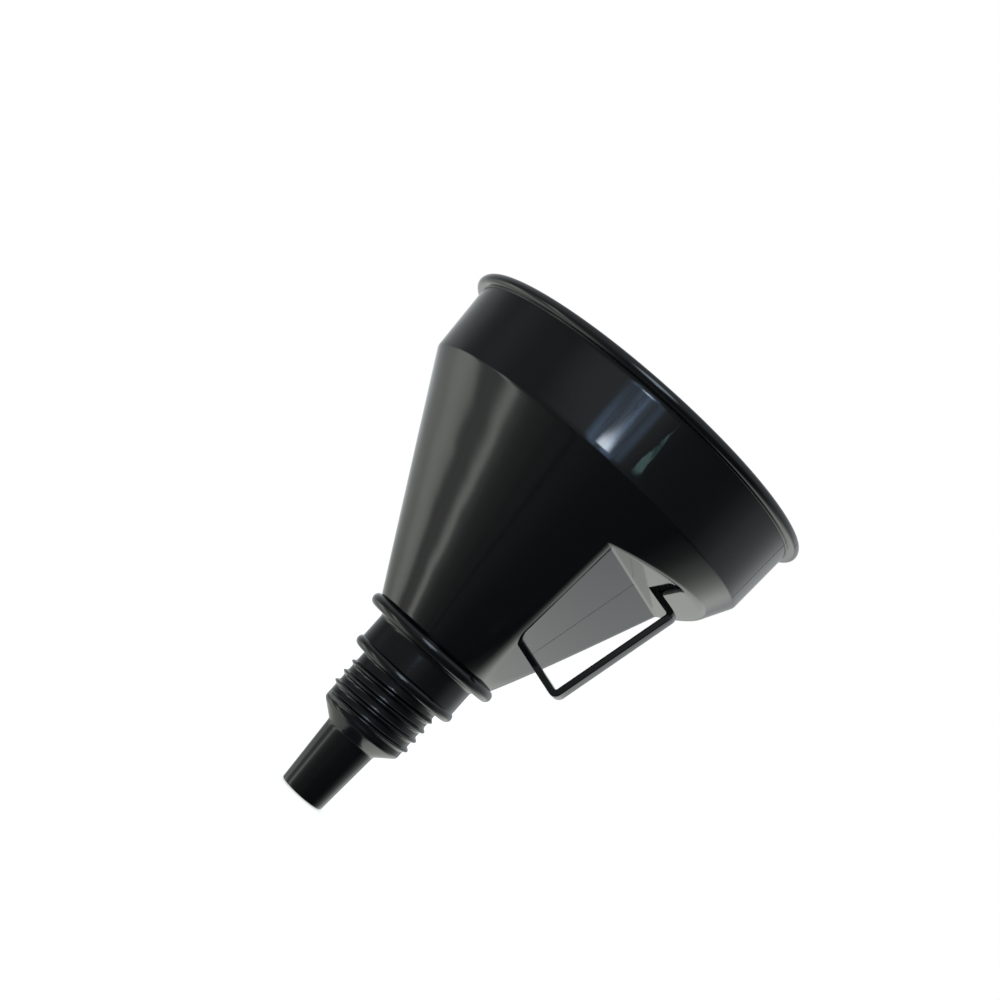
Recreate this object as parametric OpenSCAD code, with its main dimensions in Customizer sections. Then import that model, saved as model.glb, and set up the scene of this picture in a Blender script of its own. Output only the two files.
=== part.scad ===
// Fuel funnel with a strip handle over a hand recess, a snap-on threaded spout
// and a lift-out strainer. Millimetres. +Z runs up the funnel's axis to the mouth,
// +X points to the handle, and the origin is the centre of the nozzle's tip.

/* [Mouth and collar] */
// Outside radius of the beaded lip
lip_r = 80.3; // [79.5:0.1:80.5]
// Height of the top of the lip above the nozzle's tip
lip_top_z = 191.8; // [191:0.1:193]
// Height of the lip's bead
lip_h = 4.6; // [4.3:0.1:5]
// Rounding of the lip's upper outer edge
lip_top_round = 2.5; // [1.5:0.1:2.6]
// Rounding of the lip's lower outer edge
lip_under_round = 2; // [1:0.1:2]
// Outside radius of the collar just under the lip
collar_top_r = 76.8; // [76.5:0.1:77]
// Outside radius of the collar at its foot
collar_foot_r = 75.2; // [74:0.1:75.5]
// Height of the collar's foot, where the cone meets it
collar_foot_z = 159.8; // [157:0.1:162]
// Thickness of the collar's wall
collar_wall = 1.9; // [1.5:0.1:2.1]

/* [Cone] */
// Outside radius of the cone at its foot
foot_r = 27.75; // [27.5:0.05:28]
// Height of the cone's foot, on top of the spout's flange
foot_z = 75.6; // [75.4:0.1:75.8]
// Thickness of the cone's wall
wall = 2; // [1.6:0.1:2.2]
// Rounding of the corner between cone and collar
waist_round = 3; // [2:0.1:5]

/* [Hand recess] */
// Distance from the axis to the top of the recess's flat wall
recess_top_x = 43.7; // [43:0.1:44.5]
// Height of the top of the recess's flat wall
recess_top_z = 140.9; // [139:0.1:142]
// Lean of the flat wall away from the axis, degrees
recess_lean = 14.7; // [14:0.1:15.5]
// Rise of the recess's ceiling towards the outside, degrees
ceiling_rise = 18.3; // [16:0.1:21]
// Rounding of the inside corner between wall and ceiling
recess_round = 1.5; // [1:0.1:3]

/* [Handle] */
// Width of the handle's strip, across the hand
strip_w = 6.2; // [5:0.1:8]
// Thickness of the handle's strip
strip_t = 2.6; // [2.2:0.1:3]
// Finger gap between the flat wall and the handle's bar
finger_gap = 17.5; // [15:0.1:19]
// Distance down the flat wall from its top to the lower arm's top face
lower_arm_drop = 46.2; // [44:0.1:48]
// Distance from the top of the flat wall up to the upper arm's underside
upper_arm_rise = 3.3; // [2.8:0.1:3.6]
// Rounding of the handle's outer corners
handle_round = 3; // [2:0.1:4]

/* [Spout] */
// Outside radius of the nozzle's tip
nozzle_tip_r = 9.45; // [9.2:0.05:9.7]
// Outside radius of the nozzle where the shoulder starts
nozzle_root_r = 11.25; // [11.2:0.05:11.5]
// Height of the top of the nozzle
nozzle_h = 27.7; // [26:0.1:28.2]
// Radius of the straight outlet bore in the nozzle's tip
outlet_r = 8; // [7.5:0.1:8.2]
// Length of the straight outlet bore
outlet_l = 12; // [8:0.5:16]
// Radius of the threaded body under the thread
thread_core_r = 18; // [17.8:0.1:18.2]
// Height of the bottom of the threaded body
thread_body_z = 33; // [32.5:0.1:33.4]
// Radius of the bead over its round edge
bead_r = 23.65; // [23.5:0.05:23.7]
// Height of the middle of the bead
bead_z = 57.5; // [57:0.1:57.8]
// Outside radius of the plain neck between bead and flange
neck_r = 22.5; // [22.3:0.1:22.6]
// Outside radius of the flange
flange_r = 29.7; // [29.4:0.1:30]
// Thickness of the flange, which has a fully round edge
flange_t = 5.2; // [5:0.1:5.4]

/* [Thread] */
// Rise of the thread in one turn
thread_pitch = 4.7; // [4.5:0.1:5]
// Outside radius of the thread's crest
thread_crest_r = 19.35; // [19.1:0.05:19.5]
// Height of the middle of the thread where it starts
thread_start_z = 36.1; // [35.8:0.1:36.4]
// Direction in which the thread starts, degrees round from the handle
thread_start_angle = 222.6; // [200:0.1:240]
// Number of turns
thread_turns = 3.5; // [3:0.1:3.6]

/* [Joint between bowl and spout] */
// Outside radius of the bowl's spigot
spigot_r = 20.3; // [20.2:0.05:20.4]
// Radius of the throat through the spigot
throat_r = 17.8; // [17.6:0.1:17.9]
// Height of the end of the spigot
spigot_end_z = 62.5; // [62.4:0.1:62.8]
// Radius over the snap bead near the end of the spigot
snap_r = 20.85; // [20.6:0.05:20.9]
// Height of the middle of the seal
seal_z = 68.1; // [67.5:0.1:69]

/* [Strainer] */
// Outside radius of the strainer's brim
brim_r = 24.3; // [24:0.1:24.4]
// Height of the strainer's brim
brim_t = 2.6; // [2.4:0.1:3]
// Radius of the open middle of the strainer
strainer_open_r = 16.2; // [15.8:0.1:16.3]
// Length of the strainer's skirt below the brim
skirt_l = 4.6; // [3:0.1:6]
// Radius of the gauze disc
gauze_r = 20.1; // [19.5:0.1:20.2]
// Height of the finger lugs above the brim
lug_h = 9; // [7:0.5:11]
// Width of the finger lugs
lug_w = 13; // [10:0.5:15]

/* [Hidden] */
$fn = 96;
fit_gap = 0.1; // clearance between pieces that stay put
run_gap = 0.25; // clearance between the strainer and the bowl
eps = 0.01;
plastic = "#1d1e20";
corner_steps = 6; // straight steps in each rounded corner

floor_t = 2; // thickness of the bowl's floor, the strainer's seat
floor_z = foot_z + floor_t;
lip_z = lip_top_z - lip_h; // underside of the lip
lip_fillet = 0.3; // between collar and lip
lip_inner_edge = 0.8; // chamfer at the top of the mouth
collar_slope = (collar_top_r - collar_foot_r) / (lip_z - collar_foot_z);
cone_half_angle = atan2(collar_foot_r - foot_r, collar_foot_z - foot_z);
cone_wall_x = wall / cos(cone_half_angle); // the cone's wall measured level
recess_corner = [recess_top_x, recess_top_z];
beyond = 120; // farther out than any part of the funnel

bead_edge_r = 2.3;
neck_fillet = 1.2;
flange_edge_r = flange_t / 2;
flange_z = foot_z - flange_t; // underside of the flange
socket_r = spigot_r + fit_gap;
socket_floor_z = spigot_end_z - 0.3;
spout_throat_r = throat_r + 0.3; // just under the spigot
spout_throat_l = 1.7;
spout_bore_r = 16.1; // inside the threaded body
spout_bore_top_z = bead_z - 1.5;
spout_bore_low_z = thread_body_z + 1.8;
nozzle_bore_r = nozzle_root_r - 1.7; // inside the top of the nozzle
nozzle_bore_z = nozzle_h + 0.9;
spigot_lead = 0.4; // chamfer at the end of the spigot and at the mouth of the socket
snap_z = spigot_end_z + spigot_lead; // foot of the snap bead
snap_rise = 0.6; // height of each slope of the snap bead
snap_land = 0.5; // height of the snap bead's straight part
seal_w = 1.9; // height of the seal
seal_depth = 1.2; // depth of the seal's groove

skirt_r = throat_r - run_gap;
brim_z = floor_z + fit_gap;
brim_top_z = brim_z + brim_t;
gauze_t = 0.4;
gauze_z = brim_z + 1;
lug_t = 2.2;
lug_r = brim_r - 0.3;

// ---- outlines ----

function unit(v) = v / norm(v);

// Points round the corner at b, between its neighbours a and c.
function corner(a, b, c, r) =
    r == 0 ? [b] :
    let (
        u = unit(a - b),
        w = unit(c - b),
        half = acos(u * w) / 2,
        mid = b + unit(u + w) * r / sin(half),
        from = b + u * r / tan(half) - mid,
        to = b + w * r / tan(half) - mid,
        start = atan2(from.y, from.x),
        turn = sign(cross(from, to)) * (180 - 2 * half)
    )
    [for (i = [0:corner_steps])
        mid + r * [cos(start + turn * i / corner_steps), sin(start + turn * i / corner_steps)]];

// A closed outline from [x, y, rounding] corners.
function rounded(pts) =
    let (n = len(pts), at = function (i) [pts[(i + n) % n][0], pts[(i + n) % n][1]])
    [for (i = [0:n - 1]) each corner(at(i - 1), at(i), at(i + 1), pts[i][2])];

function cone_r(z) = foot_r + (z - foot_z) * tan(cone_half_angle);

// Outside of the bowl, turned about the axis, with the spigot below the foot.
function bowl_outline() = rounded([
    [0, spigot_end_z, 0],
    [spigot_r - spigot_lead, spigot_end_z, 0],
    [spigot_r, snap_z, 0],
    [snap_r, snap_z + snap_rise, 0],
    [snap_r, snap_z + snap_rise + snap_land, 0],
    [spigot_r, snap_z + 2 * snap_rise + snap_land, 0],
    [spigot_r, seal_z - seal_w / 2 - fit_gap, 0],
    [spigot_r - seal_depth, seal_z - seal_w / 2 - fit_gap, 0],
    [spigot_r - seal_depth, seal_z + seal_w / 2 + fit_gap, 0],
    [spigot_r, seal_z + seal_w / 2 + fit_gap, 0],
    [spigot_r, foot_z, 0],
    [foot_r, foot_z, 0],
    [collar_foot_r, collar_foot_z, waist_round],
    [collar_top_r, lip_z, lip_fillet],
    [lip_r, lip_z, lip_under_round],
    [lip_r, lip_top_z, lip_top_round],
    [0, lip_top_z, 0]
]);

// Inside of the bowl above its floor.
function bowl_inside_outline() =
    let (
        edge_z = lip_top_z - lip_inner_edge,
        edge_r = collar_foot_r - collar_wall + collar_slope * (edge_z - collar_foot_z)
    )
    rounded([
        [0, floor_z, 0],
        [cone_r(floor_z) - cone_wall_x, floor_z, 1],
        [collar_foot_r - collar_wall, collar_foot_z + 0.3, waist_round],
        [edge_r, edge_z, 0],
        [edge_r + 2 * lip_inner_edge, edge_z + 2 * lip_inner_edge, 0],
        [0, edge_z + 2 * lip_inner_edge, 0]
    ]);

// Side view of the hand recess, grown by t into the bowl.
function recess_outline(t) =
    let (
        lean = recess_lean,
        rise = ceiling_rise,
        along_wall = [-sin(lean), -cos(lean)],
        along_ceiling = [cos(rise), sin(rise)],
        out = unit(along_wall + along_ceiling),
        half = acos(along_wall * along_ceiling) / 2,
        // the corner of the grown recess, where its two faces cross
        tip = recess_corner - out * t / sin(half),
        low = tip + along_wall * (tip.y - foot_z + (t > 0 ? wall : 0) + eps) / cos(lean),
        far = tip + along_ceiling * beyond
    )
    rounded([
        [tip.x, tip.y, recess_round + t],
        [far.x, far.y, 0],
        [far.x, low.y, 0],
        [low.x, low.y, 0]
    ]);

// ---- shared solids ----

module recess(t) {
    rotate([90, 0, 0])
        linear_extrude(height = 2 * beyond, center = true)
            polygon(recess_outline(t));
}

// ---- bowl and handle ----

module bowl() {
    color(plastic)
        difference() {
            rotate_extrude() polygon(bowl_outline());
            recess(0);
            difference() {
                rotate_extrude() polygon(bowl_inside_outline());
                recess(wall);
            }
            translate([0, 0, spigot_end_z - 1])
                cylinder(r = throat_r, h = floor_z - spigot_end_z + 2);
        }
}

// Side view of the strip: a loop from the flat wall out, up, and back to the ceiling.
module handle_section() {
    outer_u = finger_gap + strip_t;
    low_v = -lower_arm_drop - strip_t;
    high_v = upper_arm_rise + strip_t;
    inner_round = 0.8;
    translate(recess_corner)
        rotate(-recess_lean)
            difference() {
                polygon(rounded([
                    [-finger_gap, low_v, 0],
                    [outer_u, low_v, handle_round],
                    [outer_u, high_v, handle_round],
                    [-finger_gap, high_v, 0]
                ]));
                polygon(rounded([
                    [-finger_gap - 1, low_v + strip_t, 0],
                    [finger_gap, low_v + strip_t, inner_round],
                    [finger_gap, high_v - strip_t, inner_round],
                    [-finger_gap - 1, high_v - strip_t, 0]
                ]));
            }
}

module carrying_handle() {
    color(plastic)
        rotate([90, 0, 0])
            linear_extrude(height = strip_w, center = true)
                intersection() {
                    handle_section();
                    polygon(recess_outline(0));
                }
}

// ---- spout ----

function spout_outline() = rounded([
    [outlet_r, 0, 0],
    [nozzle_tip_r, 0, 0.6],
    [nozzle_root_r, nozzle_h, 1.5],
    [thread_core_r, thread_body_z, 2],
    [thread_core_r, bead_z, 0],
    [neck_r, bead_z, 0],
    [neck_r, flange_z, neck_fillet],
    [flange_r - flange_edge_r, flange_z, 0],
    [flange_r - flange_edge_r, foot_z, 0],
    [socket_r + spigot_lead, foot_z, 0],
    [socket_r, foot_z - spigot_lead, 0],
    [socket_r, snap_z + 2 * snap_rise + snap_land + fit_gap, 0],
    [snap_r + fit_gap, snap_z + snap_rise + snap_land + fit_gap, 0],
    [snap_r + fit_gap, snap_z + snap_rise - fit_gap, 0],
    [socket_r, snap_z - fit_gap, 0],
    [socket_r, socket_floor_z, 0],
    [spout_throat_r, socket_floor_z, 0],
    [spout_throat_r, socket_floor_z - spout_throat_l, 0],
    [spout_bore_r, spout_bore_top_z, 0],
    [spout_bore_r, spout_bore_low_z, 1],
    [nozzle_bore_r, nozzle_bore_z, 1],
    [outlet_r, outlet_l, 0]
]);

module round_edge(r, z, edge_r) {
    translate([r - edge_r, z]) circle(r = edge_r);
}

// The thread: a rounded ridge swept up a helix, fading in and out at its ends.
module thread_ridge() {
    steps_a_turn = 36;
    rings = round(thread_turns * steps_a_turn);
    fade = 4; // rings over which an end fades
    sunk = 0.3; // how far the ridge's root lies inside the body
    root_r = thread_core_r - sunk;
    depth = thread_crest_r - root_r;
    // across the ridge: [share of the depth, height from the middle]
    section = [[0, -1.5], [0.36, -0.95], [0.8, -0.45], [1, 0], [0.8, 0.45], [0.36, 0.95], [0, 1.5]];
    n = len(section);
    points = [
        for (i = [0:rings])
            let (
                a = thread_start_angle + i * 360 / steps_a_turn,
                z = thread_start_z + i * thread_pitch / steps_a_turn,
                size = min(1, (min(i, rings - i) + 0.6) / fade)
            )
            for (p = section)
                let (r = root_r + p[0] * depth * size)
                [r * cos(a), r * sin(a), z + p[1] * (0.5 + size / 2)]
    ];
    sides = [
        for (i = [0:rings - 1], j = [0:n - 1])
            let (a = i * n + j, b = i * n + (j + 1) % n)
            each [[a, b, b + n], [a, b + n, a + n]]
    ];
    first = [for (j = [1:n - 2]) [0, j + 1, j]];
    last = [for (j = [1:n - 2]) [rings * n, rings * n + j, rings * n + j + 1]];
    polyhedron(points, concat(sides, first, last));
}

module spout() {
    color(plastic)
        union() {
            rotate_extrude() {
                polygon(spout_outline());
                round_edge(bead_r, bead_z, bead_edge_r);
                round_edge(flange_r, flange_z + flange_edge_r, flange_edge_r);
            }
            thread_ridge();
        }
}

module spout_seal() {
    seal_in_r = spigot_r - seal_depth + eps;
    color("#2b2b2b")
        rotate_extrude()
            intersection() {
                translate([(seal_in_r + socket_r) / 2, seal_z]) circle(d = seal_w);
                translate([seal_in_r, seal_z - seal_w / 2])
                    square([socket_r - seal_in_r - eps, seal_w]);
            }
}

// ---- strainer ----

module strainer_frame() {
    pocket_r = gauze_r + fit_gap / 2;
    color(plastic) {
        rotate_extrude()
            polygon(rounded([
                [strainer_open_r, brim_z - skirt_l, 0],
                [skirt_r, brim_z - skirt_l, 0.5],
                [skirt_r, brim_z, 0],
                [brim_r, brim_z, 0.4],
                [brim_r, brim_top_z, 0.6],
                [pocket_r, brim_top_z, 0],
                [pocket_r, gauze_z, 0],
                [strainer_open_r, gauze_z, 0]
            ]));
        intersection() {
            translate([0, 0, brim_top_z - eps])
                difference() {
                    cylinder(r = lug_r, h = lug_h + 1);
                    translate([0, 0, -1]) cylinder(r = lug_r - lug_t, h = beyond);
                }
            lug_windows();
        }
    }
}

// Round-topped slab across the axis that leaves one lug each side of the ring.
module lug_windows() {
    round_z = brim_top_z + lug_h - lug_w / 2;
    rotate([90, 0, 0]) {
        translate([0, round_z, 0]) cylinder(d = lug_w, h = 2 * beyond, center = true);
        translate([-lug_w / 2, brim_top_z - eps, -beyond])
            cube([lug_w, round_z - brim_top_z + eps, 2 * beyond]);
    }
}

module strainer_gauze() {
    color("#b79a5b")
        translate([0, 0, gauze_z]) cylinder(r = gauze_r, h = gauze_t);
}

module strainer_clamp_ring() {
    color(plastic)
        rotate_extrude()
            polygon(rounded([
                [strainer_open_r, gauze_z + gauze_t, 0],
                [gauze_r, gauze_z + gauze_t, 0],
                [gauze_r, brim_top_z, 0.2],
                [strainer_open_r, brim_top_z, 0.4]
            ]));
}

bowl();
carrying_handle();
spout();
spout_seal();
strainer_frame();
strainer_gauze();
strainer_clamp_ring();
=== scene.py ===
"""Fuel funnel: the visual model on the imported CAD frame, with its camera, floor and light.

Lengths inside the shape functions are millimetres, as in part.scad. The axis is Z, the
nozzle's tip is at z = 0 and the handle points to +X.
"""
import math

import bmesh
import bpy
from mathutils import Matrix, Vector


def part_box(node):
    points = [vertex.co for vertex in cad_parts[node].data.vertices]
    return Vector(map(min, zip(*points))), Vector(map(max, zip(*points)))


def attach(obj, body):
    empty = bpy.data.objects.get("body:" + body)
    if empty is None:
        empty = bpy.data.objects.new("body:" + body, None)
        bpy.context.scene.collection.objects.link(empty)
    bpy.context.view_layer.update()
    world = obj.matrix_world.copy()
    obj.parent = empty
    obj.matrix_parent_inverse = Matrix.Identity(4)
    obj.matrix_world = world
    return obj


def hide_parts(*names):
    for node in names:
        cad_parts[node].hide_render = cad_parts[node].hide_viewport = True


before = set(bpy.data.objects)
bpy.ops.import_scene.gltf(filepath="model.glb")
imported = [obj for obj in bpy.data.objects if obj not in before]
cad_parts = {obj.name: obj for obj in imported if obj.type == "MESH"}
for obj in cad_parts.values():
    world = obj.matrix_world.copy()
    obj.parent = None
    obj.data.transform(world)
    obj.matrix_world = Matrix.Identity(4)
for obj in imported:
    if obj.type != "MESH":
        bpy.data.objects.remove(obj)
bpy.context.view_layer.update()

MM = 0.001
SHARP = math.radians(34)  # an edge that turns by more than this shows as a crease
FIT_GAP = 0.1

# ---- sizes read from the frame ----


def box_mm(node):
    """Low and high corners of a CAD node's box, in millimetres."""
    low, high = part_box(node)
    return low / MM, high / MM


BOWL_LOW, BOWL_HIGH = box_mm("bowl")
HANDLE_LOW, HANDLE_HIGH = box_mm("carrying_handle")
SPOUT_HIGH = box_mm("spout")[1]
SEAL_LOW, SEAL_HIGH = box_mm("spout_seal")
FRAME_LOW, FRAME_HIGH = box_mm("strainer_frame")
GAUZE_LOW, GAUZE_HIGH = box_mm("strainer_gauze")
CLAMP_LOW, CLAMP_HIGH = box_mm("strainer_clamp_ring")

# ---- bowl: a pair is (distance from the axis, height) ----
LIP_R = BOWL_HIGH.x
LIP_TOP = BOWL_HIGH.z
LIP_H = 4.6
LIP_EDGE = 0.8
COLLAR_TOP = (76.8, LIP_TOP - LIP_H)
COLLAR_FOOT = (75.2, 159.8)
COLLAR_WALL = 1.9
COLLAR_SLOPE = (COLLAR_TOP[0] - COLLAR_FOOT[0]) / (COLLAR_TOP[1] - COLLAR_FOOT[1])
WAIST_ROUND = 3.0
FOOT = (27.75, SPOUT_HIGH.z)
WALL = 2.0
FLOOR_Z = FOOT[1] + WALL
CONE_SLOPE = (COLLAR_FOOT[0] - FOOT[0]) / (COLLAR_FOOT[1] - FOOT[1])
CONE_WALL_X = WALL * math.hypot(1, CONE_SLOPE)
THROAT_R = 17.8
SPIGOT_R = 20.3
SPIGOT_END = BOWL_LOW.z
SPIGOT_LEAD = 0.4
SNAP_R = 20.85
SNAP_FOOT = SPIGOT_END + 0.4
SEAL_DEPTH = 1.2

# ---- hand recess and handle ----
RECESS_TOP = (43.7, 140.9)
LEAN = math.radians(14.7)
CEILING_RISE = math.radians(18.3)
RECESS_ROUND = 1.0
EDGE_SOFT = 2.4
STRIP_W = HANDLE_HIGH.y - HANDLE_LOW.y
STRIP_T = 2.6
FINGER_GAP = 17.5
LOWER_ARM = -46.2
UPPER_ARM = 3.3

# ---- spout ----
TIP_R = 9.45
ROOT_R = 11.25
NOZZLE_H = 27.7
OUTLET_R = 8.0
OUTLET_L = 12.0
BODY_R = 18.0
BODY_Z = 33.0
BODY_BORE = 16.1
BEAD_AT = (21.35, 57.5)
BEAD_ROUND = 2.3
NECK_R = 22.5
FLANGE_ROUND = 2.6
FLANGE_AT = (SPOUT_HIGH.x - FLANGE_ROUND, FOOT[1] - FLANGE_ROUND)
SOCKET_FLOOR = SPIGOT_END - 0.3
SPOUT_THROAT = (THROAT_R + 0.3, SPIGOT_END - 2)
BORE_TOP = BEAD_AT[1] - 1.5
BORE_LOW = BODY_Z + 2
NOZZLE_BORE = (ROOT_R - 1.7, NOZZLE_H + 0.9)
PITCH = 4.7
CREST = 1.35
THREAD_Z = 35.75
THREAD_ANGLE = 222.6
THREAD_TURNS = 3.5
THREAD_FADE = 0.1  # turns over which the ridge rises at either end
RIDGE_HALF = 0.84  # half the ridge's width, partway down its flank
RIDGE_FALL = 2.5  # more makes the crest flatter and the flanks steeper

# ---- strainer ----
OPEN_R = 16.2
POCKET_R = 20.15
LUG_W = 13.0
LUG_T = 2.2
LUG_R = 24.0
SKIRT_R = THROAT_R - 0.25
BRIM_Z = FLOOR_Z + FIT_GAP
BRIM_TOP = CLAMP_HIGH.z

# ---- scuff on the collar: degrees round from the handle, the rest in metres ----
SCUFF_TURN = 58.3
SCUFF_LOW = 0.1645
SCUFF_HIGH = 0.1885
SCUFF_HALF = 0.0021
SCUFF_R = 0.076

# ---- camera, fitted to the photograph's outline; it stands CAMERA_TURN degrees from the handle ----
CAMERA_TURN = -67.37
CAMERA_DISTANCE = 609.25
CAMERA_HEIGHT = 81.37
LOOK_TURN = 24.34
LOOK_UP = 4.753
LOOK_ROLL = 41.98
LENS = 57.6
SENSOR = 36


# ---- outlines ----


def unit(x, y):
    length = math.hypot(x, y)
    return x / length, y / length


def corner(a, b, c, radius, steps):
    """Points of the arc that rounds corner b between its neighbours a and c."""
    if radius == 0:
        return [b]
    ux, uy = unit(a[0] - b[0], a[1] - b[1])
    wx, wy = unit(c[0] - b[0], c[1] - b[1])
    half = math.acos(max(-1, min(1, ux * wx + uy * wy))) / 2
    mx, my = unit(ux + wx, uy + wy)
    mid = (b[0] + mx * radius / math.sin(half), b[1] + my * radius / math.sin(half))
    cut = radius / math.tan(half)
    start = math.atan2(b[1] + uy * cut - mid[1], b[0] + ux * cut - mid[0])
    end = math.atan2(b[1] + wy * cut - mid[1], b[0] + wx * cut - mid[0])
    turn = (end - start + math.pi) % (2 * math.pi) - math.pi
    angles = [start + turn * i / steps for i in range(steps + 1)]
    return [(mid[0] + radius * math.cos(t), mid[1] + radius * math.sin(t)) for t in angles]


def rounded(points, steps=5):
    """A closed outline from (x, y, rounding) corners."""
    out = []
    for i, (x, y, radius) in enumerate(points):
        before, after = points[i - 1], points[(i + 1) % len(points)]
        out += corner(before[:2], (x, y), after[:2], radius, steps)
    return out


def arc(mid, radius, start, end, steps):
    """Points along an arc, angles in degrees."""
    angles = [math.radians(start + (end - start) * i / steps) for i in range(steps + 1)]
    return [(mid[0] + radius * math.cos(t), mid[1] + radius * math.sin(t)) for t in angles]


def divided(points, longest):
    """The closed outline with no side longer than longest, a number or a function of height."""
    out = []
    for a, b in zip(points, points[1:] + points[:1]):
        limit = longest((a[1] + b[1]) / 2) if callable(longest) else longest
        n = max(1, math.ceil(math.dist(a, b) / limit))
        out += [(a[0] + (b[0] - a[0]) * i / n, a[1] + (b[1] - a[1]) * i / n) for i in range(n)]
    return out


def cut_at(points, heights):
    """The closed outline with an extra point wherever a side crosses one of the heights."""
    for height in heights:
        out = []
        for a, b in zip(points, points[1:] + points[:1]):
            out.append(a)
            if (a[1] - height) * (b[1] - height) < 0:
                t = (height - a[1]) / (b[1] - a[1])
                out.append((a[0] + (b[0] - a[0]) * t, height))
        points = out
    return points


def smooth_min(a, b, k):
    blend = max(k - abs(a - b), 0)
    return min(a, b) - blend * blend / (4 * k)


def smooth_max(a, b, k):
    return -smooth_min(-a, -b, k)


# ---- meshes ----


def finish_mesh(bm, name, material, body, nodes):
    """Turn a bmesh in millimetres into a piece that rides on a body and stands for CAD nodes."""
    bmesh.ops.recalc_face_normals(bm, faces=bm.faces)
    for face in bm.faces:
        face.smooth = True
    for edge in bm.edges:
        edge.smooth = edge.calc_face_angle(0) < SHARP
    mesh = bpy.data.meshes.new(name)
    bm.to_mesh(mesh)
    bm.free()
    mesh.transform(Matrix.Scale(MM, 4))
    piece = bpy.data.objects.new(name, mesh)
    bpy.context.scene.collection.objects.link(piece)
    mesh.materials.append(material)
    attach(piece, body)
    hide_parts(*nodes)
    return piece


def add_loft(bm, rings, close_rows=False):
    """Quads between successive rings of points; each ring is closed."""
    rows = [[bm.verts.new(p) for p in ring] for ring in rings]
    pairs = list(zip(rows, rows[1:] + rows[:1])) if close_rows else list(zip(rows, rows[1:]))
    for low, high in pairs:
        for i in range(len(low)):
            j = (i + 1) % len(low)
            bm.faces.new((low[i], low[j], high[j], high[i]))
    return rows


def turned(outline, angles, radius_at=lambda r, z, a: r):
    """Rings of points for a closed outline turned about the axis."""
    rings = []
    for r, z in outline:
        reach = [(radius_at(r, z, a), a) for a in angles]
        rings.append([(at * math.cos(a), at * math.sin(a), z) for at, a in reach])
    return rings


def even_angles(count):
    return [2 * math.pi * i / count for i in range(count)]


def add_slab(bm, outline, low, high, bevel, place, steps=4):
    """A closed outline pulled from low to high with rounded rims, each point put by place."""
    n = len(outline)
    area = sum(a[0] * b[1] - a[1] * b[0] for a, b in zip(outline, outline[1:] + outline[:1]))
    side = 1 if area > 0 else -1
    inward = []
    for i in range(n):
        (ax, ay), (cx, cy) = outline[i - 1], outline[(i + 1) % n]
        tx, ty = unit(cx - ax, cy - ay)
        inward.append((-ty * side, tx * side))
    levels = []
    for i in range(steps + 1):
        t = math.radians(90 * i / steps)
        levels.append((low + bevel * (1 - math.sin(t)), bevel * (1 - math.cos(t))))
    levels = levels[::-1] + [(high + low - h, inset) for h, inset in levels]
    levels = [(low, bevel * 1.25)] + levels + [(high, bevel * 1.25)]
    rings = []
    for h, inset in levels:
        rings.append([place(x + ix * inset, y + iy * inset, h)
                      for (x, y), (ix, iy) in zip(outline, inward)])
    rows = add_loft(bm, rings)
    return [bm.faces.new(rows[0]), bm.faces.new(rows[-1])]


# ---- bowl ----


def recess_x(z, grow):
    """Distance from the axis to the recess at height z, with the recess grown by grow."""
    wall = RECESS_TOP[0] + (z - RECESS_TOP[1]) * math.tan(LEAN) - grow / math.cos(LEAN)
    rise = z - RECESS_TOP[1] - grow / math.cos(CEILING_RISE)
    ceiling = RECESS_TOP[0] + rise / math.tan(CEILING_RISE)
    return smooth_max(wall, ceiling, RECESS_ROUND)


def snap_bead(gap):
    """The bead round the spigot, from its top down. With a gap, the socket's groove for it."""
    wall, crest = SPIGOT_R + gap, SNAP_R + gap
    return [
        (wall, SNAP_FOOT + 1.7 + gap),
        (crest, SNAP_FOOT + 1.1 + gap),
        (crest, SNAP_FOOT + 0.6 - gap),
        (wall, SNAP_FOOT - gap),
    ]


def bowl_outline():
    """Up the inside from the throat, over the lip, down the outside and the spigot, and back to
    the throat. A third number is a corner's rounding."""
    foot_r = FOOT[0] + (FLOOR_Z - FOOT[1]) * CONE_SLOPE - CONE_WALL_X
    inner_r = COLLAR_FOOT[0] - COLLAR_WALL
    edge_z = LIP_TOP - LIP_EDGE
    edge_r = inner_r + COLLAR_SLOPE * (edge_z - COLLAR_FOOT[1])
    groove_r = SPIGOT_R - SEAL_DEPTH
    groove_top, groove_low = SEAL_HIGH.z + FIT_GAP, SEAL_LOW.z - FIT_GAP
    return rounded([
        (THROAT_R, FLOOR_Z, 0.5),
        (foot_r, FLOOR_Z, 1.2),
        (inner_r, COLLAR_FOOT[1] + 0.3, WAIST_ROUND),
        (edge_r, edge_z, 0.5),
        (edge_r + LIP_EDGE, LIP_TOP, 0.4),
        (LIP_R, LIP_TOP, 2.5),
        (LIP_R, COLLAR_TOP[1], 2),
        (*COLLAR_TOP, 0.3),
        (*COLLAR_FOOT, WAIST_ROUND),
        (*FOOT, 0.35),
        (SPIGOT_R, FOOT[1], 0),
        (SPIGOT_R, groove_top, 0),
        (groove_r, groove_top, 0),
        (groove_r, groove_low, 0),
        (SPIGOT_R, groove_low, 0),
        *[(r, z, 0) for r, z in snap_bead(0)],
        (SPIGOT_R - SPIGOT_LEAD, SPIGOT_END, 0),
        (THROAT_R, SPIGOT_END, 0),
    ], steps=6)


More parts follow.
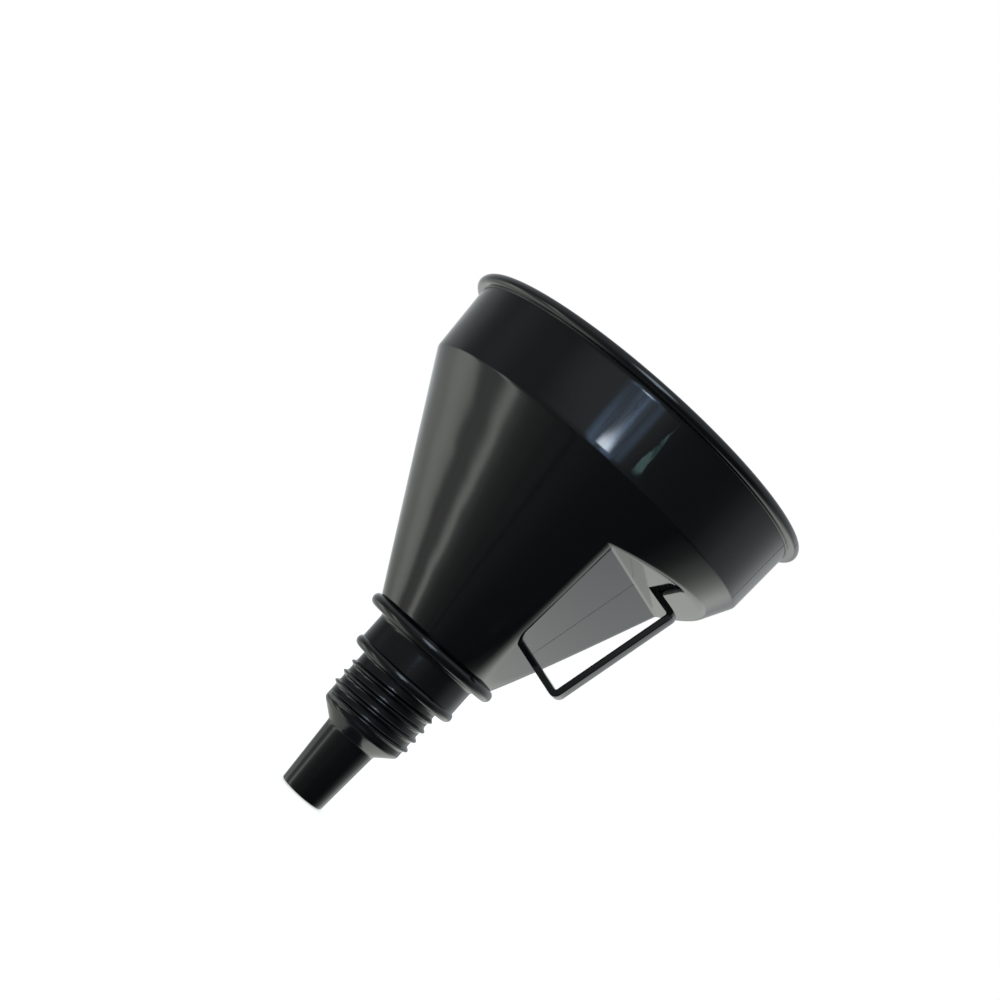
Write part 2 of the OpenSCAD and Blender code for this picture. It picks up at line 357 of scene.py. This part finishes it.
def make_bowl(material):
    """The bowl's outline turned about the axis, pressed in where the hand recess is. Rows lie
    close together where the recess's ceiling crosses the cone."""
    low, high = RECESS_TOP[1] - 3, RECESS_TOP[1] + 14
    fine_row, row = 0.38, 2
    outline = divided(cut_at(bowl_outline(), (low, high)),
                      lambda z: fine_row if low < z < high else row)

    def radius(r, z, a):
        on_cone = FOOT[1] - 0.5 < z < COLLAR_FOOT[1] + 2 and r >= SPIGOT_R + FIT_GAP
        towards_handle = math.cos(a)
        if not on_cone or towards_handle < 0.2:
            return r
        outside = r > FOOT[0] + (z - FOOT[1]) * CONE_SLOPE - WALL / 2
        return smooth_min(r, recess_x(z, 0 if outside else WALL) / towards_handle, EDGE_SOFT)

    bm = bmesh.new()
    add_loft(bm, turned(outline, bowl_angles(), radius), close_rows=True)
    return finish_mesh(bm, "bowl_shell", material, "funnel", ["bowl"])


def bowl_angles():
    """Directions round the axis, close together across the recess."""
    fine = math.radians(0.55)
    edge = math.radians(66)
    fine_steps = round(edge / fine)
    back_steps = 90
    front = [edge * i / fine_steps for i in range(-fine_steps, fine_steps + 1)]
    span = 2 * math.pi - 2 * edge
    return front + [edge + span * i / back_steps for i in range(1, back_steps)]


# ---- handle ----


def from_wall(u, v, y):
    """A point u out from the recess's flat wall, v up it from its top, y across."""
    x = RECESS_TOP[0] + u * math.cos(LEAN) + v * math.sin(LEAN)
    z = RECESS_TOP[1] - u * math.sin(LEAN) + v * math.cos(LEAN)
    return x, y, z


def make_handle(material):
    """The strip bent into a loop. Its ends are sunk into the bowl's wall and ceiling."""
    tilt = LEAN + CEILING_RISE
    low, high = LOWER_ARM - STRIP_T, UPPER_ARM + STRIP_T
    out = FINGER_GAP + STRIP_T
    sunk = 1.5
    outer_bend, inner_bend, rim = 3, 0.8, 0.45

    def inside_ceiling(v):
        return v / math.tan(tilt) - sunk / math.sin(tilt)

    outline = rounded([
        (-sunk, low, 0),
        (out, low, outer_bend),
        (out, high, outer_bend),
        (inside_ceiling(high), high, 0),
        (inside_ceiling(UPPER_ARM), UPPER_ARM, 0),
        (FINGER_GAP, UPPER_ARM, inner_bend),
        (FINGER_GAP, LOWER_ARM, inner_bend),
        (-sunk, LOWER_ARM, 0),
    ])
    bm = bmesh.new()
    add_slab(bm, divided(outline, 2), -STRIP_W / 2, STRIP_W / 2, rim, from_wall)
    return finish_mesh(bm, "handle_strip", material, "funnel", ["carrying_handle"])


# ---- spout ----


def spout_outline():
    """Outside up from the tip to the flange, then down the socket and the bore."""
    over_nozzle = BODY_Z + 3
    nozzle = rounded([
        (OUTLET_R, 0, 0.25),
        (TIP_R, 0, 0.6),
        (ROOT_R, NOZZLE_H, 1.5),
        (BODY_R, BODY_Z, 2),
        (BODY_R, over_nozzle, 0),
        (OUTLET_R, over_nozzle, 0),
    ])[:-1]
    bead_low = BEAD_AT[1] - BEAD_ROUND
    meet = math.degrees(math.acos((NECK_R - BEAD_AT[0]) / BEAD_ROUND))
    body = corner((BODY_R, BODY_Z), (BODY_R, bead_low), (BEAD_AT[0], bead_low), 0.7, 4)
    bead = arc(BEAD_AT, BEAD_ROUND, -90, meet, 14)
    flange_low = FLANGE_AT[1] - FLANGE_ROUND
    neck = corner((NECK_R, BEAD_AT[1]), (NECK_R, flange_low), (FLANGE_AT[0], flange_low), 1.2, 5)
    flange = arc(FLANGE_AT, FLANGE_ROUND, -90, 90, 16)
    socket_r = SPIGOT_R + FIT_GAP
    chamfer = 0.4
    inside = [
        (socket_r + chamfer, FOOT[1]),
        (socket_r, FOOT[1] - chamfer),
        *snap_bead(FIT_GAP),
        (socket_r, SOCKET_FLOOR),
        (SPOUT_THROAT[0], SOCKET_FLOOR),
        SPOUT_THROAT,
        (BODY_BORE, BORE_TOP),
        (BODY_BORE, BORE_LOW),
        (BODY_BORE - chamfer, BORE_LOW - 0.7),
        NOZZLE_BORE,
        (OUTLET_R, OUTLET_L),
    ]
    return nozzle + body + bead + neck + flange + inside


def thread_height(z, angle):
    """How far the thread stands out from the body at one height and direction."""
    part = ((math.degrees(angle) - THREAD_ANGLE) % 360) / 360
    best = 0
    for turn in range(math.ceil(THREAD_TURNS) + 1):
        s = part + turn
        if s > THREAD_TURNS:
            break
        off = abs(z - THREAD_Z - PITCH * s)
        size = min(1, min(s, THREAD_TURNS - s) / THREAD_FADE)
        height = CREST * math.sqrt(size) * math.exp(-(off / RIDGE_HALF) ** RIDGE_FALL)
        best = max(best, height)
    return best


def make_spout(material):
    """The spout's outline turned about the axis, with the thread raised on its body. Rows lie
    close together along the thread."""
    low, high = BODY_Z + 1, BEAD_AT[1] - BEAD_ROUND - 0.6
    fine_row, row = 0.16, 1.2
    outline = divided(cut_at(spout_outline(), (low, high)),
                      lambda z: fine_row if low < z < high else row)

    def radius(r, z, a):
        on_thread = abs(r - BODY_R) < 0.01 and low < z < high
        return r + thread_height(z, a) if on_thread else r

    bm = bmesh.new()
    add_loft(bm, turned(outline, even_angles(216), radius), close_rows=True)
    return finish_mesh(bm, "spout_body", material, "funnel", ["spout"])


def make_seal(material):
    """A ring of round section, flattened a little inside and out."""
    r = (SEAL_HIGH.x + SPIGOT_R - SEAL_DEPTH) / 2
    half_w = SEAL_HIGH.x - r
    half_h = (SEAL_HIGH.z - SEAL_LOW.z) / 2
    z = (SEAL_HIGH.z + SEAL_LOW.z) / 2
    outline = []
    for t in even_angles(20):
        x = min(half_w, max(-half_w, half_h * math.cos(t)))
        outline.append((r + x, z + half_h * math.sin(t)))
    bm = bmesh.new()
    add_loft(bm, turned(outline, even_angles(96)), close_rows=True)
    return finish_mesh(bm, "seal_ring", material, "funnel", ["spout_seal"])


# ---- strainer ----


def make_strainer_frame(material):
    """Brim, skirt and pocket turned about the axis, with two finger lugs."""
    outline = rounded([
        (OPEN_R, FRAME_LOW.z, 0.3),
        (SKIRT_R, FRAME_LOW.z, 0.5),
        (SKIRT_R, BRIM_Z, 0.2),
        (FRAME_HIGH.x, BRIM_Z, 0.4),
        (FRAME_HIGH.x, BRIM_TOP, 0.6),
        (POCKET_R, BRIM_TOP, 0.25),
        (POCKET_R, GAUZE_LOW.z, 0),
        (OPEN_R, GAUZE_LOW.z, 0.2),
    ])
    bm = bmesh.new()
    add_loft(bm, turned(divided(outline, 2), even_angles(144)), close_rows=True)
    for side in (1, -1):
        add_lug(bm, side)
    return finish_mesh(bm, "strainer_ring", material, "strainer", ["strainer_frame"])


def add_lug(bm, side):
    """A round-topped tab that stands on the brim and follows its curve."""
    half = LUG_W / 2
    foot_z = BRIM_TOP - 0.3
    dome = arc((0, FRAME_HIGH.z - half), half, 0, 180, 24)
    outline = divided([(half, foot_z)] + dome + [(-half, foot_z)], 2)
    lug = bmesh.new()
    add_slab(lug, outline, LUG_R - LUG_T, LUG_R, 0.5, lambda x, z, r: (x, r, z))
    strip_w = 1.1
    for i in range(-5, 6):
        geometry = lug.verts[:] + lug.edges[:] + lug.faces[:]
        bmesh.ops.bisect_plane(lug, geom=geometry, plane_co=(i * strip_w, 0, 0), plane_no=(1, 0, 0))
    for vert in lug.verts:
        x, r, z = vert.co
        vert.co = (x, side * math.sqrt(r * r - x * x), z)
    mesh = bpy.data.meshes.new("lug")
    lug.to_mesh(mesh)
    lug.free()
    bm.from_mesh(mesh)
    bpy.data.meshes.remove(mesh)


def wire(along_x, k, spacing, edge, wire_r, swing, z):
    """Rings of points along the k-th wire, which waves over and under the ones it crosses."""
    across = k * spacing
    reach = math.sqrt(max(0, edge * edge - across * across))
    n = max(2, math.ceil(2 * reach / (spacing / 2)))
    rings = []
    for i in range(n + 1):
        s = -reach + 2 * reach * i / n
        lift = swing * math.cos(math.pi * (s / spacing + k + (0 if along_x else 1)))
        ring = []
        for t in even_angles(5):
            a, h = across + wire_r * math.cos(t), z + lift + wire_r * math.sin(t)
            ring.append((s, a, h) if along_x else (a, s, h))
        rings.append(ring)
    return rings


def make_gauze(material):
    """Plain-woven round wires, as thick as the CAD disc where two of them cross."""
    thick = GAUZE_HIGH.z - GAUZE_LOW.z
    z = (GAUZE_HIGH.z + GAUZE_LOW.z) / 2
    wire_r, swing, spacing = thick / 4, thick / 4, 0.9
    edge = GAUZE_HIGH.x - wire_r
    count = int(edge / spacing)
    bm = bmesh.new()
    for along_x in (True, False):
        for k in range(-count, count + 1):
            rows = add_loft(bm, wire(along_x, k, spacing, edge, wire_r, swing, z))
            bm.faces.new(rows[0])
            bm.faces.new(rows[-1])
    return finish_mesh(bm, "gauze_weave", material, "strainer", ["strainer_gauze"])


def make_clamp_ring(material):
    outline = rounded([
        (CLAMP_HIGH.x, CLAMP_LOW.z, 0.1),
        (CLAMP_HIGH.x, CLAMP_HIGH.z, 0.2),
        (OPEN_R, CLAMP_HIGH.z, 0.45),
        (OPEN_R, CLAMP_LOW.z, 0.1),
    ])
    bm = bmesh.new()
    add_loft(bm, turned(divided(outline, 1.5), even_angles(144)), close_rows=True)
    return finish_mesh(bm, "clamp_ring", material, "strainer", ["strainer_clamp_ring"])


# ---- materials ----


class Nodes:
    """Short calls for building one node tree."""

    def __init__(self, tree):
        self.tree = tree
        tree.nodes.clear()

    def add(self, kind, **values):
        node = self.tree.nodes.new(kind)
        for key, value in values.items():
            setattr(node, key, value)
        return node

    def put(self, value, socket):
        """Link an output, or set a plain value."""
        if isinstance(value, bpy.types.NodeSocket):
            self.tree.links.new(value, socket)
        else:
            socket.default_value = value

    def math(self, operation, a, b=0.0, c=0.0):
        node = self.add("ShaderNodeMath", operation=operation)
        for value, socket in zip((a, b, c), node.inputs):
            self.put(value, socket)
        return node.outputs[0]

    def coords(self):
        return self.add("ShaderNodeTexCoord").outputs["Object"]

    def scaled(self, vector, scale):
        node = self.add("ShaderNodeMapping")
        self.put(vector, node.inputs["Vector"])
        node.inputs["Scale"].default_value = scale
        return node.outputs[0]

    def noise(self, vector, scale, detail=2.0, roughness=0.5):
        node = self.add("ShaderNodeTexNoise")
        self.put(vector, node.inputs["Vector"])
        node.inputs["Scale"].default_value = scale
        node.inputs["Detail"].default_value = detail
        node.inputs["Roughness"].default_value = roughness
        return node.outputs["Fac"]

    def span(self, value, from_low, from_high, to_low=0.0, to_high=1.0, smooth=True):
        kind = "SMOOTHSTEP" if smooth else "LINEAR"
        node = self.add("ShaderNodeMapRange", interpolation_type=kind)
        numbers = (value, from_low, from_high, to_low, to_high)
        for number, name in zip(numbers, ("Value", "From Min", "From Max", "To Min", "To Max")):
            self.put(number, node.inputs[name])
        return node.outputs["Result"]

    def bump(self, height, distance, normal=None):
        node = self.add("ShaderNodeBump")
        self.put(height, node.inputs["Height"])
        node.inputs["Distance"].default_value = distance
        node.inputs["Strength"].default_value = 1.0
        if normal is not None:
            self.put(normal, node.inputs["Normal"])
        return node.outputs["Normal"]

    def mix_colour(self, factor, a, b):
        node = self.add("ShaderNodeMix", data_type="RGBA")
        self.put(factor, node.inputs[0])
        self.put(a, node.inputs[6])
        self.put(b, node.inputs[7])
        return node.outputs[2]

    def axes(self, vector):
        """The vector's X, Y and Z."""
        node = self.add("ShaderNodeSeparateXYZ")
        self.put(vector, node.inputs[0])
        return node.outputs

    def dot(self, a, b):
        node = self.add("ShaderNodeVectorMath", operation="DOT_PRODUCT")
        self.put(a, node.inputs[0])
        self.put(b, node.inputs[1])
        return node.outputs["Value"]

    def times(self, vector, scale):
        node = self.add("ShaderNodeVectorMath", operation="SCALE")
        self.put(vector, node.inputs[0])
        self.put(scale, node.inputs["Scale"])
        return node.outputs[0]


def new_material(name):
    material = bpy.data.materials.new(name)
    material.use_nodes = True
    nodes = Nodes(material.node_tree)
    shader = nodes.add("ShaderNodeBsdfPrincipled")
    output = nodes.add("ShaderNodeOutputMaterial")
    material.node_tree.links.new(shader.outputs[0], output.inputs["Surface"])
    return material, nodes, shader


def set_surface(nodes, shader, normal, rough, tint):
    nodes.put(normal, shader.inputs["Normal"])
    nodes.put(rough, shader.inputs["Roughness"])
    nodes.put(tint, shader.inputs["Base Color"])


def gloss_black(name, ripple_height, marks=None):
    """Black moulded polyethylene: high gloss, slow ripples from cooling that are strongest away
    from the handle, faint flow lines up the wall, fine orange peel and a few dull rub marks."""
    material, nodes, shader = new_material(name)
    at = nodes.coords()
    ripple = nodes.noise(nodes.scaled(at, (26, 26, 33)), scale=1, detail=1.5)
    away = nodes.span(nodes.axes(at)[0], 0.02, -0.02, to_low=0.1, to_high=1.0)
    ripple = nodes.math("MULTIPLY", ripple, away)
    flow = nodes.noise(nodes.scaled(at, (210, 210, 9)), scale=1)
    peel = nodes.noise(at, scale=1500, detail=1.0)
    patches = nodes.noise(nodes.scaled(at, (60, 60, 22)), scale=1, detail=5.0, roughness=0.65)
    rub = nodes.span(patches, 0.62, 0.8)
    fleck = nodes.span(nodes.noise(at, scale=420, detail=3.0), 0.7, 0.78)
    normal = nodes.bump(ripple, distance=ripple_height)
    normal = nodes.bump(flow, distance=0.00001, normal=normal)
    normal = nodes.bump(peel, distance=0.0000005, normal=normal)
    rough = nodes.span(flow, 0.3, 0.7, to_low=0.05, to_high=0.075)
    for dull in (rub, fleck):
        rough = nodes.math("MULTIPLY_ADD", dull, 0.08, rough)
    tint = nodes.mix_colour(rub, (0.0016, 0.002, 0.0025, 1), (0.004, 0.0044, 0.0048, 1))
    if marks:
        normal, rough, tint = marks(nodes, at, normal, rough, tint)
    set_surface(nodes, shader, normal, rough, tint)
    shader.inputs["IOR"].default_value = 1.5
    return material


def bowl_marks(nodes, at, normal, rough, tint):
    """The mould's parting line through the recess, collar and lip, and a pale scuff that tapers
    up the collar. Both are on faces that look away from the origin."""
    x, y, z = nodes.axes(at)
    facing = nodes.dot(at, nodes.add("ShaderNodeNewGeometry").outputs["True Normal"])
    outer = nodes.math("GREATER_THAN", facing, 0.0)
    duller = 0.3

    near = nodes.span(nodes.math("ABSOLUTE", y), 0.0005, 0.00012)
    line = nodes.math("MULTIPLY", near, nodes.span(x, 0.03, 0.034))
    line = nodes.math("MULTIPLY", line, outer)
    normal = nodes.bump(line, distance=0.00012, normal=normal)
    tint = nodes.mix_colour(line, tint, (0.0005, 0.0006, 0.0006, 1))
    rough = nodes.math("MULTIPLY_ADD", line, duller, rough)

    turn = nodes.math("ARCTAN2", y, x)
    across = nodes.math("MULTIPLY_ADD", turn, SCUFF_R, SCUFF_R * math.radians(SCUFF_TURN))
    ragged = nodes.noise(nodes.scaled(at, (500, 500, 160)), scale=1, detail=3.0)
    wander = 0.0022
    across = nodes.math("MULTIPLY_ADD", ragged, wander,
                        nodes.math("SUBTRACT", across, wander / 2))
    taper = nodes.span(z, SCUFF_LOW, SCUFF_HIGH, to_low=SCUFF_HALF, to_high=0.0, smooth=False)
    inside = nodes.math("SUBTRACT", taper, nodes.math("ABSOLUTE", across))
    scuff = nodes.math("MULTIPLY", nodes.span(inside, 0.0, 0.0009),
                       nodes.span(z, SCUFF_LOW - 0.003, SCUFF_LOW + 0.001))
    scuff = nodes.math("MULTIPLY", scuff, nodes.span(ragged, 0.3, 0.62, to_low=0.15))
    scuff = nodes.math("MULTIPLY", scuff, outer)
    tint = nodes.mix_colour(scuff, tint, (0.034, 0.064, 0.06, 1))
    rough = nodes.math("MULTIPLY_ADD", scuff, duller, rough)
    return normal, rough, tint


def satin_black():
    """Strainer plastic: satin grain, a little paler than the bowl, worn shinier in places."""
    material, nodes, shader = new_material("strainer_plastic")
    at = nodes.coords()
    grain = nodes.noise(at, scale=2600)
    worn = nodes.span(nodes.noise(at, scale=90, detail=3.0), 0.4, 0.65)
    tint = nodes.mix_colour(worn, (0.022, 0.023, 0.025, 1), (0.03, 0.031, 0.033, 1))
    rough = nodes.span(worn, 0, 1, to_low=0.42, to_high=0.28)
    set_surface(nodes, shader, nodes.bump(grain, distance=0.000012), rough, tint)
    return material


def seal_rubber():
    """Matt nitrile rubber with a bloom of paler dust."""
    material, nodes, shader = new_material("seal_rubber")
    bloom = nodes.noise(nodes.coords(), scale=700, detail=4.0)
    tint = nodes.mix_colour(bloom, (0.014, 0.014, 0.015, 1), (0.03, 0.03, 0.03, 1))
    rough = nodes.span(bloom, 0.3, 0.7, to_low=0.6, to_high=0.75)
    set_surface(nodes, shader, nodes.bump(bloom, distance=0.00002), rough, tint)
    return material


def gauze_brass():
    """Drawn brass wire, unevenly tarnished."""
    material, nodes, shader = new_material("gauze_brass")
    at = nodes.coords()
    tarnish = nodes.noise(at, scale=160, detail=4.0)
    drawn = nodes.noise(at, scale=6000)
    shader.inputs["Metallic"].default_value = 1.0
    tint = nodes.mix_colour(tarnish, (0.76, 0.56, 0.25, 1), (0.47, 0.33, 0.15, 1))
    rough = nodes.span(tarnish, 0.35, 0.7, to_low=0.22, to_high=0.42)
    set_surface(nodes, shader, nodes.bump(drawn, distance=0.000004), rough, tint)
    return material


# ---- floor, light and camera ----


def make_floor():
    """A pale paper sweep just under the nozzle's tip, which glossy reflections don't show."""
    bpy.ops.mesh.primitive_circle_add(
        vertices=96, radius=6, fill_type="TRIFAN", location=(0, 0, -0.5 * MM))
    floor = bpy.context.object
    floor.name = "floor"
    material, nodes, shader = new_material("floor_paper")
    fibre = nodes.noise(nodes.coords(), scale=30, detail=4.0)
    tint = nodes.mix_colour(fibre, (0.9, 0.9, 0.9, 1), (0.93, 0.93, 0.93, 1))
    nodes.put(tint, shader.inputs["Base Color"])
    nodes.put(tint, shader.inputs["Emission Color"])
    shader.inputs["Emission Strength"].default_value = 0.72
    shader.inputs["Roughness"].default_value = 0.9
    shader.inputs["Specular IOR Level"].default_value = 0.0
    floor.data.materials.append(material)
    floor.visible_glossy = False


def ring_of_light(nodes, round_the_axis, tint, stops):
    """Tinted light round the horizon, from (degrees from the camera's side, brightness) stops."""
    ramp = nodes.add("ShaderNodeValToRGB")
    nodes.put(round_the_axis, ramp.inputs["Fac"])
    ramp.color_ramp.interpolation = "CARDINAL"
    elements = ramp.color_ramp.elements
    peak = max(value for _, value in stops)
    while len(elements) < len(stops):
        elements.new(0.5)
    for element, (degrees, value) in zip(elements, stops):
        element.position = degrees / 360 + 0.5
        element.color = tuple(value / peak * c for c in tint) + (1,)
    return nodes.times(ramp.outputs["Color"], peak)


def lamp_glow(nodes, direction, aside, rise, half_w, half_h, colour, strength):
    """A soft oval light, its place from the camera's side and its half sizes in degrees."""
    a, e = math.radians(CAMERA_TURN - aside), math.radians(rise)
    toward = Vector((math.cos(e) * math.cos(a), math.cos(e) * math.sin(a), math.sin(e)))
    side = Vector((-math.sin(a), math.cos(a), 0))
    up = toward.cross(side)
    reach = []
    for axis, half in ((side, half_w), (up, half_h)):
        part = nodes.math("DIVIDE", nodes.dot(direction, axis), math.sin(math.radians(half)))
        reach.append(nodes.math("MULTIPLY", part, part))
    front = nodes.math("GREATER_THAN", nodes.dot(direction, toward), 0.0)
    glow = nodes.span(nodes.math("ADD", *reach), 1.0, 0.0, to_low=0.0, to_high=strength)
    return nodes.times(colour, nodes.math("MULTIPLY", glow, front))


def mottled(nodes, direction, glow):
    """The same light broken up by soft darker patches."""
    noise = nodes.noise(direction, scale=9)
    return nodes.times(glow, nodes.span(noise, 0.36, 0.66, to_low=0.12))


def room_light(nodes, direction):
    """Bands of light level with the object and below it, even overhead and dark underneath."""
    turned_round = nodes.add("ShaderNodeVectorRotate", rotation_type="Z_AXIS")
    nodes.put(direction, turned_round.inputs["Vector"])
    turned_round.inputs["Angle"].default_value = math.radians(-CAMERA_TURN)
    around = nodes.add("ShaderNodeTexGradient", gradient_type="RADIAL")
    nodes.put(turned_round.outputs[0], around.inputs["Vector"])
    rise = nodes.axes(direction)[2]

    level = ring_of_light(nodes, around.outputs["Fac"], (0.94, 0.985, 1.0), [
        (-180, 0.9), (-150, 0.55), (-122, 0.3), (-107, 0.2), (-91, 0.28), (-75, 0.24),
        (-50, 0.22), (-24, 0.22), (0, 0.26), (12, 0.22), (26, 0.13), (60, 0.09), (75, 0.16),
        (91, 0.36), (118, 0.56), (142, 0.78), (164, 0.5), (180, 0.7),
    ])
    low = ring_of_light(nodes, around.outputs["Fac"], (0.965, 1.0, 0.945), [
        (-180, 0.95), (-150, 0.62), (-132, 0.82), (-120, 1.45), (-109.5, 1.4), (-104, 0.72),
        (-96, 0.62), (-86, 0.95), (-77, 2.3), (-71, 1.0), (-62, 0.45), (-42, 0.22),
        (-27, 0.17), (-24, 0.1), (-21, 0.15), (5, 0.08), (55, 0.05), (78, 0.07), (95, 0.32),
        (112, 0.9), (124, 1.45), (138, 1.7), (150, 1.4), (164, 0.95), (180, 0.85),
    ])
    side = nodes.mix_colour(nodes.span(rise, -0.06, -0.27), level, low)
    room = nodes.mix_colour(nodes.span(rise, 0.15, 0.6), side, (0.5, 0.53, 0.56, 1))
    return nodes.mix_colour(nodes.span(rise, -0.88, -0.97), room, (0.16, 0.17, 0.17, 1))


def window_and_lamps(nodes, direction):
    """A mottled window with a haze round it, a small lamp, and a glow above them."""
    window = lamp_glow(nodes, direction, 4, 3.2, 15, 5.2, (0.36, 0.6, 1.0), 3.4)
    haze = lamp_glow(nodes, direction, 16, 5, 40, 6, (0.85, 0.93, 1.0), 0.3)
    lamp = lamp_glow(nodes, direction, 4, 2.0, 5.5, 0.5, (0.8, 0.9, 1.0), 22)
    high_glow = lamp_glow(nodes, direction, 5, 27, 17, 20, (0.7, 0.86, 1.0), 4.5)
    return [mottled(nodes, direction, window), haze, lamp, high_glow]


def make_light():
    """The world's light, which camera rays see as plain white. The stops of room_light's two
    bands began as brightness by direction, which a scratch program worked out from the
    photograph's reflections. They were rounded and then changed. The window and the lamps
    were placed to suit the same reflections."""
    scene = bpy.context.scene
    world = bpy.data.worlds.new("studio")
    scene.world = world
    world.use_nodes = True
    nodes = Nodes(world.node_tree)
    direction = nodes.add("ShaderNodeTexCoord").outputs["Generated"]
    total = room_light(nodes, direction)
    for glow in window_and_lamps(nodes, direction):
        both = nodes.add("ShaderNodeVectorMath", operation="ADD")
        nodes.put(total, both.inputs[0])
        nodes.put(glow, both.inputs[1])
        total = both.outputs[0]
    lit = nodes.add("ShaderNodeBackground")
    nodes.put(total, lit.inputs["Color"])
    plain = nodes.add("ShaderNodeBackground")
    plain.inputs["Color"].default_value = (1, 1, 1, 1)
    seen = nodes.add("ShaderNodeMixShader")
    nodes.put(nodes.add("ShaderNodeLightPath").outputs["Is Camera Ray"], seen.inputs[0])
    nodes.put(lit.outputs[0], seen.inputs[1])
    nodes.put(plain.outputs[0], seen.inputs[2])
    output = nodes.add("ShaderNodeOutputWorld")
    nodes.put(seen.outputs[0], output.inputs["Surface"])
    scene.view_settings.view_transform = "Standard"


def make_camera():
    """Stands level with the cone's foot, looks a little up and is rolled well over."""
    data = bpy.data.cameras.new("camera")
    data.lens = LENS
    data.sensor_width = SENSOR
    camera = bpy.data.objects.new("camera", data)
    scene = bpy.context.scene
    scene.collection.objects.link(camera)
    scene.camera = camera
    stand = math.radians(CAMERA_TURN)
    turn, pitch, roll = (math.radians(d) for d in (LOOK_TURN, LOOK_UP, LOOK_ROLL))
    forward = Vector((
        -math.sin(turn) * math.cos(pitch), math.cos(turn) * math.cos(pitch), math.sin(pitch)))
    right = Vector((math.cos(turn), math.sin(turn), 0))
    up = right.cross(forward)
    across = right * math.cos(roll) + up * math.sin(roll)
    over = up * math.cos(roll) - right * math.sin(roll)
    pose = Matrix((across, over, -forward)).transposed().to_4x4()
    spot = Vector((
        CAMERA_DISTANCE * math.cos(stand), CAMERA_DISTANCE * math.sin(stand), CAMERA_HEIGHT))
    camera.matrix_world = Matrix.Translation(spot * MM) @ pose


def make_model():
    shell = gloss_black("funnel_plastic", ripple_height=0.00006)
    marked = gloss_black("funnel_plastic_marked", ripple_height=0.0008, marks=bowl_marks)
    pieces = [make_bowl(marked), make_handle(shell), make_spout(shell)]
    make_seal(seal_rubber())
    satin = satin_black()
    make_strainer_frame(satin)
    make_clamp_ring(satin)
    make_gauze(gauze_brass())


make_model()
make_floor()
make_light()
make_camera()
